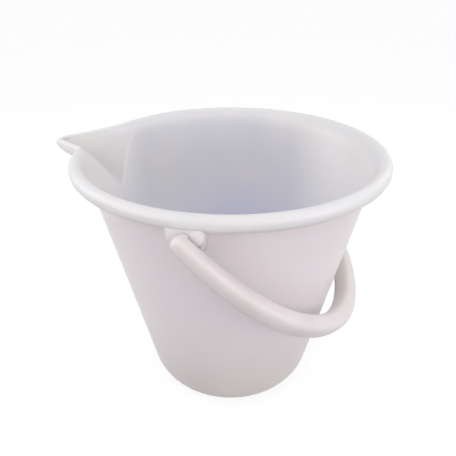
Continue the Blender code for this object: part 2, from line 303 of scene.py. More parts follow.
@dataclass(frozen=True)
class MouldedPolyethylene(MouldedPlastic):
    """Undyed high-density polyethylene, injection moulded.

    It gives the eye a milky white with soft edges to its shadows, because light goes a few
    millimetres into it, a faint pink cast on the wall and the satin gloss of a polished mould. Its
    colour also holds painted light and shade: the wall darker towards the foot (painted shade), the
    inside darker than the outside (painted shade), a rim band that is partly a cooler tone and partly
    painted light, which makes the inner top lighter, a painted blue cast of the shade deep inside the
    bucket, a paler inner wall towards the sides (painted light, as if lit through the wall), and
    greyer spout faces (painted shade).
    """

    name: str = "moulded_natural_polyethylene"
    roughness: float = 0.34
    rough_span: tuple[float, float] = (0.35, 0.7)
    rough_change: tuple[float, float] = (-0.05, 0.07)
    ior: float = 1.53
    milkiness: float = 0.8
    depth: float = 3.5 * MM
    scatter: tuple[float, float, float] = (1.0, 0.95, 0.92)
    peel: float = 2.2 * MM
    peel_strength: float = 0.05
    outside: str = "ede6e8"
    # Painted shade: the outside darkens to this colour towards the foot.
    foot: str = "ddd5d2"
    # Partly a cooler tone, partly painted light: the band round the top, which it makes lighter on the
    # inner top.
    rim: str = "e9e7e8"
    # Painted shade: the inside of the wall is darker than the outside.
    inside: str = "dad9dd"
    # Painted light: the inner wall is paler towards the sides, as if lit through the wall.
    painted_lit_inside_side: str = "f4f1f0"
    # Painted shade: the spout's faces are greyer.
    spout_painted_shade: str = "dfdddd"
    # Painted blue cast of the shade deep inside the bucket, paler towards the sides.
    deep: str = "e8e8f8"
    deep_side: str = "efeff1"
    handled: str = "ebe5df"
    # Heights and reaches of the painted shade at the foot, the painted light of the rim band and of the
    # sides, and the painted blue cast deep inside.
    painted_foot_shade_span: tuple[float, float] = (130 * MM, 0.0)
    painted_rim_light_span: tuple[float, float] = (265 * MM, 276 * MM)
    painted_light_reach: tuple[float, float] = (134 * MM, 87 * MM)
    painted_light_turn: float = math.radians(20)
    deep_reach: tuple[float, float] = (110 * MM, 30 * MM)
    deep_span: tuple[float, float] = (235 * MM, 130 * MM)
    cloud: float = 70 * MM
    cloud_span: tuple[float, float] = (0.42, 0.72)
    cloud_share: float = 0.35
    scuff: float = 9 * MM

    def material(self) -> bpy.types.Material:
        """Builds the node material.

        Returns:
            The finish of the bucket.
        """
        made = blank_material(self.name)
        tree = made.node_tree
        place = add_node(tree, "ShaderNodeTexCoord").outputs["Object"]
        inner = add_node(tree, "ShaderNodeAttribute", {"attribute_name": "inside"}).outputs["Fac"]
        face = add_node(tree, "ShaderNodeAttribute", {"attribute_name": "spout"}).outputs["Fac"]
        cloud = add_node(tree, "ShaderNodeTexNoise", {}, {
            "Vector": place, "Scale": 1 / self.cloud, "Detail": 3.0, "Roughness": 0.5})
        wear = add_node(tree, "ShaderNodeTexNoise", {}, {
            "Vector": place, "Scale": 1 / self.scuff, "Detail": 5.0, "Roughness": 0.62})
        across = add_node(tree, "ShaderNodeSeparateXYZ", {}, {0: place})
        up = across.outputs["Z"]
        aside = add_node(tree, "ShaderNodeVectorMath", {"operation": "DOT_PRODUCT"}, {
            0: place, 1: (math.cos(self.painted_light_turn), math.sin(self.painted_light_turn), 0)}).outputs["Value"]
        off_middle, off_side = [
            add_node(tree, "ShaderNodeMath", {"operation": "ABSOLUTE"}, {0: distance}).outputs[0]
            for distance in (across.outputs["X"], aside)]
        shares = []
        # Shares of the painted shade at the foot, of the painted blue cast deep inside, of the rim
        # band's painted light, of the blue cast's middle, of the painted light at the sides, and of the
        # random patches.
        for value, (start, full), most in (
                (up, self.painted_foot_shade_span, 1.0), (up, self.deep_span, 1.0), (up, self.painted_rim_light_span, 1.0),
                (off_middle, self.deep_reach, 1.0), (off_side, self.painted_light_reach, 1.0),
                (cloud.outputs["Fac"], self.cloud_span, self.cloud_share)):
            shares.append(add_node(tree, "ShaderNodeMapRange", {"interpolation_type": "SMOOTHSTEP"}, {
                "Value": value, "From Min": start, "From Max": full, "To Max": most}).outputs["Result"])
        low, deep, high, middle, between, patch = shares
        tones: dict[str, bpy.types.NodeSocket] = {}
        # Mixes the tones: the painted blue cast, the inner wall with painted light at the sides and
        # painted shade elsewhere, the spout's painted shade, the painted shade at the foot, then the rim
        # band's painted light and the random patches.
        for name, share, first, second in (
                ("haze", middle, self.deep_side, self.deep),
                ("upper", between, self.painted_lit_inside_side, self.inside),
                ("brim", face, "upper", self.spout_painted_shade),
                ("outer", low, self.outside, self.foot),
                ("hollow", deep, "brim", "haze"),
                ("wall", inner, "outer", "hollow"),
                ("base", high, "wall", self.rim),
                ("tinted", patch, "base", self.handled)):
            ends = [tones[tone] if tone in tones else linear(tone) for tone in (first, second)]
            tones[name] = add_node(tree, "ShaderNodeMix", {"data_type": "RGBA"}, {
                "Factor": share, 6: ends[0], 7: ends[1]}).outputs[2]
        self.surface(tree, tones["tinted"], wear.outputs["Fac"])
        return made


@dataclass(frozen=True)
class MouldedPolypropylene(MouldedPlastic):
    """Undyed polypropylene, injection moulded as one thick bail.

    It gives the eye a warmer, creamier white than the bucket, with a broad soft shine along the top. Its
    colour goes from pinkish on the near side to creamier on the far side, which is a painted cast of
    light.
    """

    name: str = "moulded_ivory_polypropylene"
    roughness: float = 0.38
    rough_span: tuple[float, float] = (0.3, 0.7)
    rough_change: tuple[float, float] = (-0.04, 0.06)
    ior: float = 1.49
    milkiness: float = 0.6
    depth: float = 4.0 * MM
    scatter: tuple[float, float, float] = (1.0, 0.95, 0.85)
    peel: float = 1.6 * MM
    peel_strength: float = 0.06
    # Painted light: a pinkish cast on the near side, going over to a creamier one on the far side.
    near: str = "eae1e3"
    far: str = "e4e1da"
    thick: str = "e4dcdb"
    painted_cast_span: tuple[float, float] = (-120 * MM, 40 * MM)
    cloud: float = 45 * MM
    cloud_span: tuple[float, float] = (0.38, 0.68)

    def material(self) -> bpy.types.Material:
        """Builds the node material.

        Returns:
            The finish of the bail.
        """
        made = blank_material(self.name)
        tree = made.node_tree
        place = add_node(tree, "ShaderNodeTexCoord").outputs["Object"]
        across = add_node(tree, "ShaderNodeSeparateXYZ", {}, {0: place}).outputs["Y"]
        cloud = add_node(tree, "ShaderNodeTexNoise", {}, {
            "Vector": place, "Scale": 1 / self.cloud, "Detail": 3.0, "Roughness": 0.55}).outputs["Fac"]
        tone = linear(self.near)
        # A painted cast of light from the near side to the far side, then random patches of a duller
        # tone.
        for value, (start, full), other in (
                (across, self.painted_cast_span, self.far), (cloud, self.cloud_span, self.thick)):
            share = add_node(tree, "ShaderNodeMapRange", {"interpolation_type": "SMOOTHSTEP"}, {
                "Value": value, "From Min": start, "From Max": full}).outputs["Result"]
            tone = add_node(tree, "ShaderNodeMix", {"data_type": "RGBA"}, {
                "Factor": share, 6: tone, 7: linear(other)}).outputs[2]
        self.surface(tree, tone, cloud)
        return made


@dataclass
class Spout:
    """The pouring spout: two flat faces that meet in a valley, and the lip that runs round its tip."""

    turn: float = math.radians(4.4)
    reach: float = 209.5 * MM
    droop: float = 8.9 * MM
    depth: float = 66.0 * MM
    bend: float = math.radians(18.6)
    bend_depth: float = 3.0 * MM
    lip_bend: float = math.radians(16.3)
    nose: float = 22.0 * MM
    crease: float = 4.0 * MM
    top_crease: float = 10.0 * MM
    top_crease_depth: float = 30.0 * MM
    lip_crease: float = 3.0 * MM
    lip_width: float = 7.5 * MM
    lip_open: float = math.radians(22)
    lip_fade: float = 0.15
    rim_dip: float = 2.2 * MM
    rim_dip_reach: float = math.radians(50)
    # The beak is worked out within so many times the bend, and never divides by less than this.
    beak_bends: float = 2.5
    least_share: float = 0.2
    # The spout's painted shade starts and is full at these shares of the bend, and this far off the
    # round wall.
    tint_bends: tuple[float, float] = (1.6, 1.3)
    tint_stand: tuple[float, float] = (0.2 * MM, 1.4 * MM)

    @property
    def nose_cut(self) -> float:
        """How much the rounding takes off the point where the two faces would meet."""
        return self.nose / 4

    def beak(self, plain: np.ndarray, reach: np.ndarray | float, spread: float, turn: np.ndarray,
             crease: np.ndarray | float) -> np.ndarray:
        """Radius of a round wall with a beak of two straight faces.

        Args:
            plain: Radius of the round wall.
            reach: Distance from the axis to the point where the two faces would meet.
            spread: How far a face falls back for each unit sideways.
            turn: Angle from the tip of the spout.
            crease: Width of the rounding between wall and beak.

        Returns:
            The radius at that angle.
        """
        near = np.abs(turn) < self.beak_bends * self.bend
        a = np.where(near, turn, 0.0)
        left = reach / np.maximum(np.cos(a) + spread * np.sin(a), self.least_share)
        right = reach / np.maximum(np.cos(a) - spread * np.sin(a), self.least_share)
        beak = smooth_max(plain, -smooth_max(-left, -right, self.nose), crease)
        return np.where(near, beak, plain)


@dataclass
class RolledRim:
    """The rim: the wall flares out and rolls over into a round bead, open underneath."""

    radius: float = 5.2 * MM
    side: float = 1.4 * MM
    side_fade: float = 0.15
    start: float = math.radians(140)
    end: float = math.radians(-75)
    flare: float = 18.0 * MM
    flare_rows: int = 9
    roll_rows: int = 30
    # Share of the roll where the inside's painted shade starts.
    tint_start: float = 0.35

    @property
    def flare_top(self) -> float:
        """Height of the end of the flare, below the top of the bead's middle surface."""
        return -self.radius * (1 - math.sin(self.start))


@dataclass
class BucketShell:
    """The bucket's wall, floor, rolled rim and spout, in one moulding of even thickness."""

    finish: bpy.types.Material
    height: float
    rim_radius: float
    wall: float = 2.4 * MM
    underside: float = 14.0 * MM
    wall_top_radius: float = 144.2 * MM
    foot_radius: float = 92.3 * MM
    corner_radius: float = 32.0 * MM
    recess: float = 0.8 * MM
    recess_radius: float = 55.0 * MM
    recess_edge: float = 3.0 * MM
    gate: float = 0.5 * MM
    gate_radius: float = 3.5 * MM
    gate_edge: float = 0.8 * MM
    spout: Spout = field(default_factory=Spout)
    rim: RolledRim = field(default_factory=RolledRim)
    floor_rows: int = 14
    corner_rows: int = 10
    wall_rows: int = 88
    edge_rows: int = 5
    fine_columns: int = 96
    plain_columns: int = 132
    fine_angle: float = math.radians(30)

    @property
    def slope(self) -> float:
        """How much the wall's radius grows for each unit of height."""
        return (self.wall_top_radius - self.foot_radius) / (self.height - self.underside)

    @property
    def lean(self) -> float:
        """Angle of the wall from upright."""
        return math.atan(self.slope)

    @property
    def rim_middle(self) -> float:
        """Radius of the rim's middle surface at its widest."""
        return self.rim_radius - self.wall / 2

    @property
    def edge_height(self) -> float:
        """Height of the middle surface at the top of the bead."""
        return self.height - self.wall / 2

    def cone(self, z: np.ndarray | float) -> np.ndarray | float:
        """Radius of the plain wall, half-way through it, at height z."""
        return self.foot_radius + self.slope * z - self.wall / 2 / math.cos(self.lean)

    def faces(self) -> tuple[float, float, float]:
        """The spout's faces, as reach - spread * sideways - fall * depth.

        Returns:
            Reach, spread and fall.
        """
        spout = self.spout
        foot = self.cone(self.height - spout.depth)
        tip = spout.reach - spout.lip_width + spout.nose_cut
        fall = (tip - foot) / (spout.depth - spout.droop - spout.bend_depth)
        reach = foot + fall * spout.depth
        bend = self.cone(self.height)
        sideways = bend * math.sin(spout.bend)
        spread = (reach - spout.bend_depth * fall - bend * math.cos(spout.bend)) / sideways
        return reach, spread, fall

    def wall_radius(self, turn: np.ndarray, z: np.ndarray) -> np.ndarray:
        """Radius of the middle surface of the wall and the spout.

        Args:
            turn: Angle from the tip of the spout.
            z: Height.

        Returns:
            The radius.
        """
        reach, spread, fall = self.faces()
        spout = self.spout
        down = self.height - z
        soft = spout.crease + spout.top_crease * (1 - smooth_step(0.0, spout.top_crease_depth, down))
        return spout.beak(self.cone(z), reach - fall * down, spread, turn, soft)

    def lip_radius(self, turn: np.ndarray) -> np.ndarray:
        """Radius of the outermost line of the rim and the lip.

        Args:
            turn: Angle from the tip of the spout.

        Returns:
            The radius.
        """
        spout = self.spout
        reach = spout.reach + spout.nose_cut
        across = self.rim_middle * math.sin(spout.lip_bend)
        spread = (reach - self.rim_middle * math.cos(spout.lip_bend)) / across
        return spout.beak(self.rim_middle, reach, spread, turn, spout.lip_crease)

    def lip_share(self, turn: np.ndarray) -> np.ndarray:
        """1 at the tip of the spout, falling to 0 where the lip joins the round rim."""
        spout = self.spout
        return smooth_max(1 - np.abs(turn) / spout.lip_bend, np.zeros_like(turn), spout.lip_fade)

    def flared_radius(self, z: np.ndarray) -> np.ndarray:
        """Radius of the wall's middle surface away from the spout, with its flare under the rim.

        Args:
            z: Height.

        Returns:
            The radius.
        """
        rim = self.rim
        rise = self.rim_middle - self.cone(self.edge_height + rim.flare_top)
        rise -= rim.radius * (1 - math.cos(rim.start))
        t = (z - self.edge_height + rim.flare) / (rim.flare + rim.flare_top)
        return self.cone(z) + rise * np.clip(t, 0.0, None) ** 2

    def turns(self) -> np.ndarray:
        """Lays out the columns: close together at the spout, then even.

        Returns:
            Angles from the tip of the spout.
        """
        fine = np.linspace(-self.fine_angle, self.fine_angle, self.fine_columns)
        rest = np.linspace(self.fine_angle, 2 * math.pi - self.fine_angle, self.plain_columns + 2)
        return np.concatenate([fine, rest[1:-1]])

    def middle_surface(self) -> np.ndarray:
        """Lays out the surface half-way through the plastic, from the floor to the end of the roll.

        Returns:
            Points by row, column and axis.
        """
        turn = self.turns()
        near = np.where(turn > math.pi, turn - 2 * math.pi, turn)
        share = self.lip_share(near)
        spout = self.spout
        dip = spout.rim_dip * (1 - smooth_step(0.0, spout.rim_dip_reach, np.abs(near)))
        top = self.edge_height - spout.droop * share - dip
        rim, half = self.rim, self.wall / 2
        radius = self.corner_radius - half
        centre_z = half + radius
        centre_r = self.cone(centre_z - radius * math.sin(self.lean)) - radius * math.cos(self.lean)
        rows = []
        for i in range(1, self.floor_rows):
            rows.append((centre_r * i / self.floor_rows, half))
        for angle in np.linspace(-math.pi / 2, -self.lean, self.corner_rows + 1):
            rows.append((centre_r + radius * math.cos(angle), centre_z + radius * math.sin(angle)))
        grid = [(np.full_like(turn, r), np.full_like(turn, z)) for r, z in rows]
        corner_top = rows[-1][1]
        for i in range(1, self.wall_rows):
            z = corner_top + (top - rim.flare - corner_top) * i / self.wall_rows
            grid.append((self.wall_radius(near, z), z))
        full = self.rim_middle - self.cone(self.edge_height + rim.flare_top)
        rise = (full - rim.radius * (1 - math.cos(rim.start))) / full
        here = self.lip_radius(near) - self.wall_radius(near, top + rim.flare_top)
        for i in range(rim.flare_rows):
            t = i / rim.flare_rows
            z = top - rim.flare + (rim.flare + rim.flare_top) * t
            grid.append((self.wall_radius(near, z) + rise * t * t * here, z))
        foot = self.wall_radius(near, top + rim.flare_top)
        end = rim.end + (spout.lip_open - rim.end) * share * share
        for i in range(rim.roll_rows + 1):
            angle = rim.start + (end - rim.start) * i / rim.roll_rows
            out = 1 - rim.radius * (1 - np.cos(angle)) / full
            side = rim.side * smooth_step(rim.side_fade, -rim.side_fade, angle)
            grid.append((foot + out * here, top - rim.radius * (1 - np.sin(angle)) - side))
        around = math.pi + turn - spout.turn
        return np.array([np.stack([r * np.cos(around), r * np.sin(around), z], axis=1) for r, z in grid])

    def thickened(self, middle: np.ndarray) -> tuple[np.ndarray, np.ndarray]:
        """Gives the middle surface its thickness, with a round edge at the end of the roll.

        Args:
            middle: Points by row, column and axis.

        Returns:
            The rows of the closed skin, outside first, and how far inside the bucket each row is.
        """
        along = np.gradient(middle, axis=0)
        ahead = np.roll(middle, -1, axis=1)
        behind = np.roll(middle, 1, axis=1)
        out = np.cross(ahead - behind, along)
        out /= np.linalg.norm(out, axis=2, keepdims=True)
        half = self.wall / 2
        outer = middle + half * out
        inner = middle - half * out
        tangent = along[-1] / np.linalg.norm(along[-1], axis=1, keepdims=True)
        edge = []
        for angle in np.linspace(math.pi / 2, -math.pi / 2, self.edge_rows + 2)[1:-1]:
            edge.append(middle[-1] + half * (math.sin(angle) * out[-1] + math.cos(angle) * tangent))
        rows = np.concatenate([outer, np.array(edge), inner[::-1]])
        inside = np.zeros(len(rows))
        roll = self.rim.roll_rows
        start = len(outer) + self.edge_rows
        inside[start:] = 1.0
        inside[start:start + roll] = smooth_step(self.rim.tint_start, 1.0, np.linspace(0, 1, roll))
        return rows, inside

    def underside_height(self, radius: np.ndarray) -> np.ndarray:
        """Height of the underside: a shallow recess with the mould's round gate mark in its middle.

        Args:
            radius: Distance from the axis.

        Returns:
            The height.
        """
        recess_start = self.recess_radius - self.recess_edge
        gate_start = self.gate_radius - self.gate_edge
        recess = self.recess * (1 - smooth_step(recess_start, self.recess_radius, radius))
        return recess - self.gate * (1 - smooth_step(gate_start, self.gate_radius, radius))

    def spout_share(self, rows: np.ndarray) -> np.ndarray:
        """1 on the spout's faces, where the material paints shade, and 0 elsewhere.

        Args:
            rows: Points by row, column and axis.

        Returns:
            The share by row and column.
        """
        spout = self.spout
        turn = np.abs(np.arctan2(rows[..., 1], -rows[..., 0]) - spout.turn)
        stand = np.linalg.norm(rows[..., :2], axis=2) - self.flared_radius(rows[..., 2]) + self.wall / 2
        near = smooth_step(spout.tint_bends[0] * spout.bend, spout.tint_bends[1] * spout.bend, turn)
        return near * smooth_step(*spout.tint_stand, stand)

    def mesh(self) -> bpy.types.Mesh:
        """Builds the closed shell.

        Returns:
            The mesh, with attributes that say how far inside each point is and which are the spout's.
        """
        middle = self.middle_surface()
        rows, inside = self.thickened(middle)
        flat = self.floor_rows - 1
        distance = np.linalg.norm(rows[:flat, :, :2], axis=2)
        rows[:flat, :, 2] = self.underside_height(distance)
        bottom = float(self.underside_height(np.array(0.0)))
        made = round_mesh((0, 0, bottom), rows, (0, 0, self.wall))
        shares = {"inside": (0.0, np.repeat(inside, rows.shape[1]), 1.0),
                  "spout": (0.0, self.spout_share(rows).ravel(), 0.0)}
        for name, (bottom_share, wall_shares, floor_share) in shares.items():
            values = np.concatenate([[bottom_share], wall_shares, [floor_share]])
            share = made.attributes.new(name, "FLOAT", "POINT")
            share.data.foreach_set("value", values.astype(np.float32))
        return made

    def build(self) -> bpy.types.Object:
        """Makes the shell and puts it on its body.

        Returns:
            The shell's object.
        """
        obj = new_object("bucket_shell", self.mesh())
        obj.data.materials.append(self.finish)
        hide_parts("bucket_body")
        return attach(obj, Body.BUCKET.value)


@dataclass
class Ear:
    """An ear under the rim: a front plate whose sides slope back to the wall, open underneath."""

    side: Side
    shell: BucketShell
    finish: bpy.types.Material
    pivot_z: float
    face: float = 159.0 * MM
    plate: float = 3.2 * MM
    top: float = 6.5 * MM
    top_half: float = 17.0 * MM
    plate_half: float = 15.2 * MM
    plate_foot: float = 25.8 * MM
    wall_half: float = 10.0 * MM
    wall_foot: float = 41.5 * MM
    corner: float = 5.5 * MM
    skin: float = 2.4 * MM
    round_edge: float = 4.0 * MM
    edge_angles: tuple[float, ...] = (0, 22.5, 45, 67.5, 90)
    fillet: float = 3.0 * MM
    fillet_spread: float = 0.6
    # How far each ring of the fillet stands off the wall and is drawn in, as shares of the fillet.
    fillet_curve: tuple[tuple[float, float], ...] = ((1.0, 0.0), (0.45, -0.3), (0.0, -1.0))
    # Half-width, depth of the foot and corner radius of the pocket, behind the plate and at the wall.
    pocket_mouth: tuple[float, float, float] = (10.0 * MM, 45.0 * MM, 2.0 * MM)
    pocket_root: tuple[float, float, float] = (2.0 * MM, 60.0 * MM, 1.0 * MM)
    pocket_top: float = 5.2 * MM
    pocket_gap: float = 0.6 * MM
    hole: float = 3.8 * MM
    hole_sides: int = 48
    bevel: float = 0.35 * MM
    bevel_angle: float = math.radians(50)
    sharp_angle: float = math.radians(45)
    corner_steps: int = 8

    def outline(self, top_half: float, top: float, half: float, foot: float,
                corner: float) -> np.ndarray:
        """Half-width and height round the ear, one way from the top corner.

        Args:
            top_half: Half the width at the top.
            top: Depth of the top below the bucket's top.
            half: Half the width just above the foot.
            foot: Depth of the foot.
            corner: Radius of the rounded corners.

        Returns:
            Points (x, z) from the +X top corner round the foot to the -X one.
        """
        height = self.shell.height
        points = [(top_half, height - top)]
        for angle in np.linspace(0, -math.pi / 2, self.corner_steps):
            x = half - corner + corner * math.cos(angle)
            points.append((x, height - foot + corner + corner * math.sin(angle)))
        return np.array(points + [(-x, z) for x, z in reversed(points)])

    def inset(self, outline: np.ndarray, amount: float) -> np.ndarray:
        """The outline drawn in, or let out where amount is negative. Its top stays open, in the rim.

        Args:
            outline: Points (x, z).
            amount: Distance to draw in.

        Returns:
            The moved points.
        """
        ahead = np.concatenate([outline[1:], outline[-1:]])
        behind = np.concatenate([outline[:1], outline[:-1]])
        along = ahead - behind
        along /= np.linalg.norm(along, axis=1, keepdims=True)
        return outline + amount * np.stack([along[:, 1], -along[:, 0]], axis=1)

    def loft(self, rings: list[np.ndarray]) -> bpy.types.Mesh:
        """Skins rings of points into a closed block.

        Args:
            rings: Rings of points (x, y, z) from front to back.

        Returns:
            The mesh.
        """
        count = len(rings[0])
        faces = [tuple(range(count)), tuple(range((len(rings) - 1) * count, len(rings) * count))]
        for i in range(len(rings) - 1):
            for j in range(count):
                k = (j + 1) % count
                faces.append((i * count + j, i * count + k, (i + 1) * count + k, (i + 1) * count + j))
        return closed_mesh(np.concatenate(rings), faces)

    def on_plane(self, outline: np.ndarray, y: float) -> np.ndarray:
        """The outline as points at distance y from the bucket's axis."""
        far_out = np.full(len(outline), self.side.value * y)
        return np.stack([outline[:, 0], far_out, outline[:, 1]], axis=1)

    def on_wall(self, outline: np.ndarray, stand: float) -> np.ndarray:
        """Puts the outline on the wall.

        Args:
            outline: Points (x, z).
            stand: Distance off the middle of the wall.

        Returns:
            Points (x, y, z).
        """
        out = self.shell.flared_radius(outline[:, 1]) + stand
        y = np.sqrt(np.maximum(out ** 2 - outline[:, 0] ** 2, 0.0))
        return np.stack([outline[:, 0], self.side.value * y, outline[:, 1]], axis=1)

    def block(self) -> bpy.types.Mesh:
        """Shapes the outside, with rounded front edges and a fillet where it runs into the wall.

        Returns:
            The mesh.
        """
        plate = self.outline(self.top_half, self.top, self.plate_half, self.plate_foot, self.corner)
        root = self.outline(self.top_half, self.top, self.wall_half, self.wall_foot, self.corner)
        rings = []
        for angle in np.radians(self.edge_angles):
            drawn = self.round_edge * (1 - math.sin(angle))
            back = self.round_edge * (1 - math.cos(angle))
            rings.append(self.on_plane(self.inset(plate, drawn), self.face - back))
        for stand, drawn in self.fillet_curve:
            wide = self.inset(root, drawn * self.fillet * self.fillet_spread)
            rings.append(self.on_wall(wide, self.shell.wall / 2 + stand * self.fillet))
        rings.append(self.on_wall(root, 0.0))
        return self.loft(rings)

    def pocket(self) -> bpy.types.Mesh:
        """Shapes the hollow behind the plate, open underneath.

        Returns:
            The mesh.
        """
        half = self.top_half - self.skin
        mouth = self.outline(half, self.pocket_top, *self.pocket_mouth)
        root = self.outline(half, self.pocket_top, *self.pocket_root)
        front = self.on_plane(mouth, self.face - self.plate)
        return self.loft([front, self.on_wall(root, self.shell.wall / 2 + self.pocket_gap)])

    def bore(self) -> bpy.types.Mesh:
        """Shapes the hole for the peg.

        Returns:
            The mesh.
        """
        shape = bmesh.new()
        bmesh.ops.create_cone(shape, cap_ends=True, segments=self.hole_sides, radius1=self.hole,
                              radius2=self.hole, depth=4 * self.plate)
        mesh = mesh_of(shape, "bore")
        upright = np.array([vertex.co for vertex in mesh.vertices])
        y = self.side.value * (self.face - self.plate / 2)
        for vertex, (a, b, c) in zip(mesh.vertices, upright):
            vertex.co = (a, y + c, self.pivot_z - b)
        return mesh

    def build(self) -> bpy.types.Object:
        """Makes the ear and puts it on its body.

        Returns:
            The ear's object.
        """
        name = f"{self.side.name.lower()}_ear"
        obj = new_object(name, self.block())
        cutters = [new_object("pocket", self.pocket()), new_object("bore", self.bore())]
        for cutter in cutters:
            cut = obj.modifiers.new(cutter.name, "BOOLEAN")
            cut.operation = "DIFFERENCE"
            cut.object = cutter
            cut.solver = "EXACT"
        bevel = obj.modifiers.new("edges", "BEVEL")
        bevel.width = self.bevel
        bevel.segments = 2
        bevel.limit_method = "ANGLE"
        bevel.angle_limit = self.bevel_angle
        settled(obj)
        for cutter in cutters:
            bpy.data.objects.remove(cutter)
        obj.data.shade_smooth()
        obj.data.set_sharp_from_angle(angle=self.sharp_angle)
        obj.data.materials.clear()
        obj.data.materials.append(self.finish)
        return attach(obj, Body.BUCKET.value)


